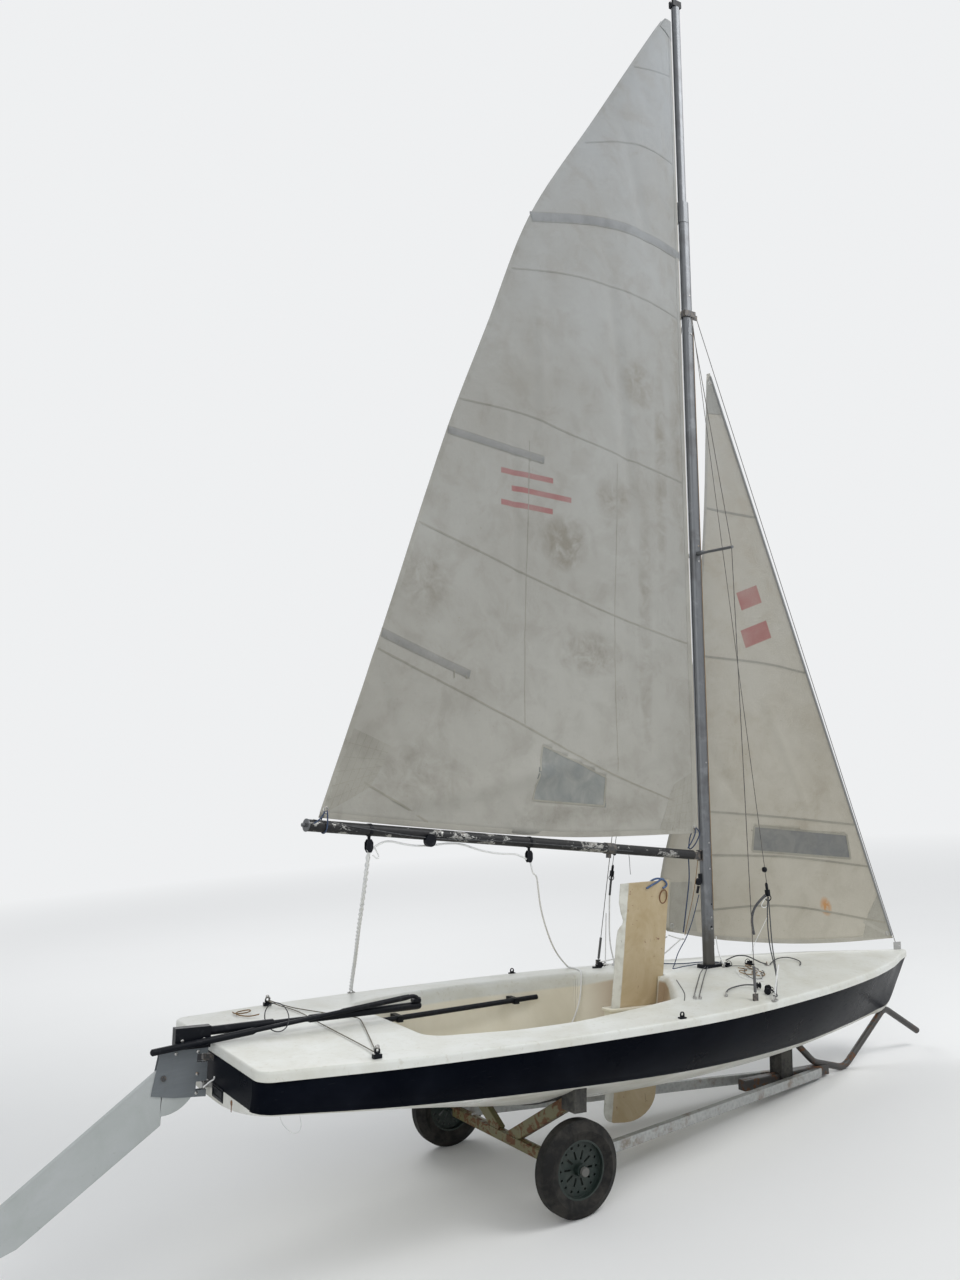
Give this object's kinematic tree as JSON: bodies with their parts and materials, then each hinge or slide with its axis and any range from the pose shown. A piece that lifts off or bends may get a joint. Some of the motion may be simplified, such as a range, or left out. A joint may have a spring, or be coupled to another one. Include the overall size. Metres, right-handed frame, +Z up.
{
  "type": "sailing dinghy on launching trolley",
  "caption": "Two-person sailing dinghy with mainsail and jib set, swinging boom, kick-up rudder and sliding daggerboard, standing on a launching trolley with free wheels.",
  "frame": {"origin": "on the floor under the middle of the parked boat and trolley", "axes": "+X towards the bow, +Y to port, +Z up"},
  "size_m": [5.337, 1.4446, 6.4902],
  "materials": {
    "hull_black": "glossy topside gelcoat",
    "deck_white": "aged white deck gelcoat",
    "liner_cream": "cream cockpit gelcoat",
    "spar_alloy": "dull anodised tube",
    "boom_black": "flaking black paint on alloy",
    "fitting_black": "moulded fitting",
    "stainless": "wire and strap",
    "sailcloth": "old woven sailcloth",
    "rudder_plate": "dull alloy plate",
    "foil_white": "white foil",
    "foil_cream": "yellowed foil with chipped edge",
    "tyre": "worn rubber",
    "rim_green": "dark green moulding",
    "olive_paint": "rusty olive paint",
    "galvanised": "dull galvanised tube",
    "dark_steel": "worn black paint",
    "webbing": "belt webbing",
    "cover_grey": "grey plastic shroud cover",
    "rubber_pad": "rubber pad"
  },
  "bodies": {
    "boat": {"hull": "hull_black", "deck": "deck_white", "cockpit_liner": "liner_cream", "board_trunk": "liner_cream", "mast_lower": "spar_alloy", "mast_upper": "spar_alloy", "masthead": "fitting_black", "mast_step": "fitting_black", "spreader_starboard": "spar_alloy", "spreader_port": "spar_alloy", "shroud_starboard": "stainless", "shroud_port": "stainless", "chainplate_starboard": "stainless", "chainplate_port": "stainless", "hounds": "stainless", "forestay": "stainless", "bow_fitting": "stainless", "jib": "sailcloth", "gooseneck": "stainless", "gudgeon_lower": "stainless", "gudgeon_upper": "stainless", "axle": "olive_paint", "arm_starboard": "olive_paint", "arm_port": "olive_paint", "pad_starboard": "rubber_pad", "pad_port": "rubber_pad", "sling": "webbing", "rail_starboard": "galvanised", "rail_port": "galvanised", "drawbar": "dark_steel", "handle": "dark_steel", "bow_chock": "rubber_pad", "transom_drain": "fitting_black", "deck_eyes": "stainless", "stowed_pole": "fitting_black", "pole_clips": "fitting_black", "shroud_covers": "cover_grey"},
    "wheel_port": {"tyre_port": "tyre", "rim_port": "rim_green"},
    "wheel_starboard": {"tyre_starboard": "tyre", "rim_starboard": "rim_green"},
    "boom": {"boom_tube": "boom_black", "mainsail": "sailcloth", "boom_toggle": "stainless", "boom_end": "spar_alloy", "sheet_blocks": "fitting_black", "vang_bracket": "spar_alloy", "cheek_block": "spar_alloy"},
    "rudder": {"rudder_head": "rudder_plate", "rudder_pin": "stainless", "blade_bolt": "stainless", "tiller_socket": "fitting_black", "tiller": "fitting_black", "tiller_extension": "fitting_black"},
    "blade": {"rudder_blade": "foil_white"},
    "board": {"daggerboard": "foil_cream"}
  },
  "joints": [
    {"name": "wheel_port_spin", "type": "hinge", "parent": "boat", "child": "wheel_port", "pos_m": [-0.369, 0.555, 0.2], "axis": [0, 1, 0], "continuous": true},
    {"name": "wheel_starboard_spin", "type": "hinge", "parent": "boat", "child": "wheel_starboard", "pos_m": [-0.369, -0.555, 0.2], "axis": [0, 1, 0], "continuous": true},
    {"name": "rudder_steer", "type": "hinge", "parent": "boat", "child": "rudder", "pos_m": [-1.79234, 0, 0.78797], "axis": [0.0978, 0, 0.9952], "range_deg": [-45, 45]},
    {"name": "blade_lift", "type": "hinge", "parent": "rudder", "child": "blade", "pos_m": [-1.9625, 0, 0.79463], "axis": [0, 1, 0], "range_deg": [-50, 45]},
    {"name": "boom_swing", "type": "hinge", "parent": "boat", "child": "boom", "pos_m": [0.99521, 0, 1.34484], "axis": [0.0721, 0, 0.9974], "range_deg": [-72.5, 57.5]},
    {"name": "board_slide", "type": "slide", "parent": "boat", "child": "board", "axis": [0.197, 0, 0.9804], "range_m": [-0.5, 0.1]}
  ]
}
